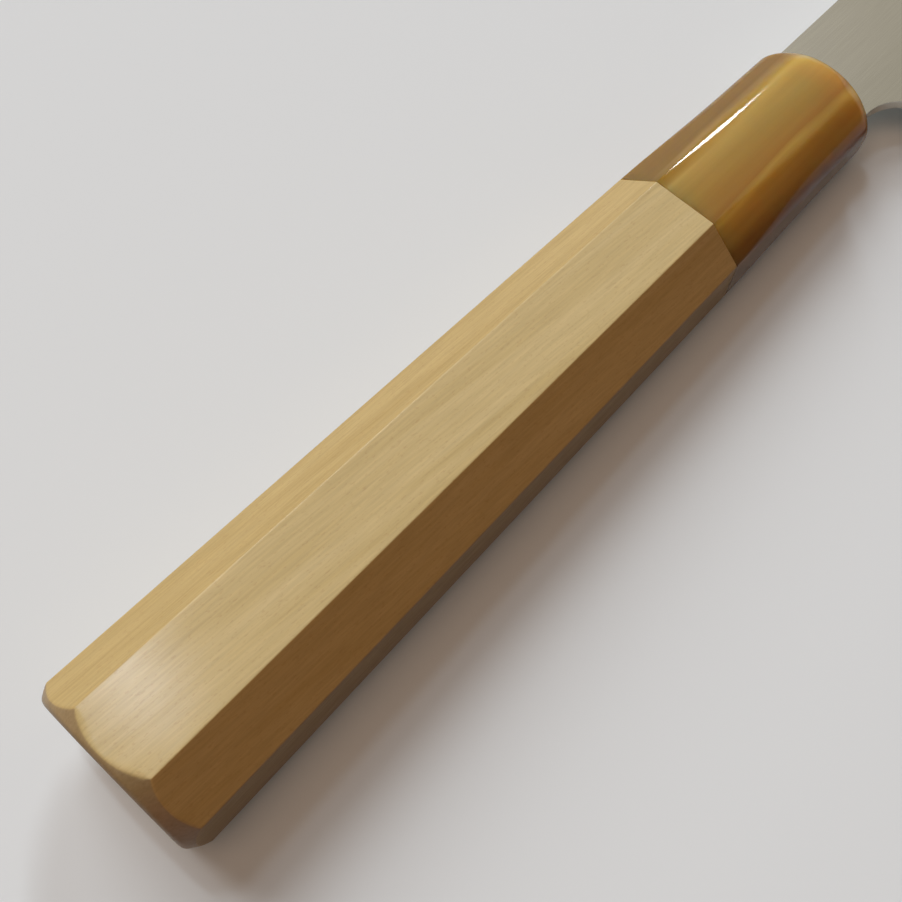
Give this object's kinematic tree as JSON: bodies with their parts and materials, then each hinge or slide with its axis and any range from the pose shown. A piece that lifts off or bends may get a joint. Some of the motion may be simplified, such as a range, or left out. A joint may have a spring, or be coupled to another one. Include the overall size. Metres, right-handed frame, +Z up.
{
  "type": "petty knife",
  "caption": "Slim kitchen utility knife: thin pointed blade on a hidden stick tang, tapered octagonal wooden handle with a flush polished horn ferrule.",
  "frame": {"origin": "on the flat that the knife lies on: the middle of the left side flat of the wooden handle", "axes": "+X from the butt towards the tip, +Y towards the spine, +Z up out of the blade's right side; the tapered handle lies on its flat, so its axis dips 1.10 degrees towards the tip"},
  "size_m": [0.2695, 0.0302, 0.0187],
  "materials": {
    "blade_steel": "satin",
    "ferrule_horn": "polished",
    "handle_wood": "satin",
    "dowel_wood": "matte",
    "bedding_resin": "satin",
    "seal_resin": "satin"
  },
  "bodies": {
    "root": {"blade": "blade_steel", "ferrule": "ferrule_horn", "handle_body": "handle_wood", "dowel": "dowel_wood", "tang_bedding": "bedding_resin", "mouth_seal": "seal_resin"}
  },
  "joints": []
}
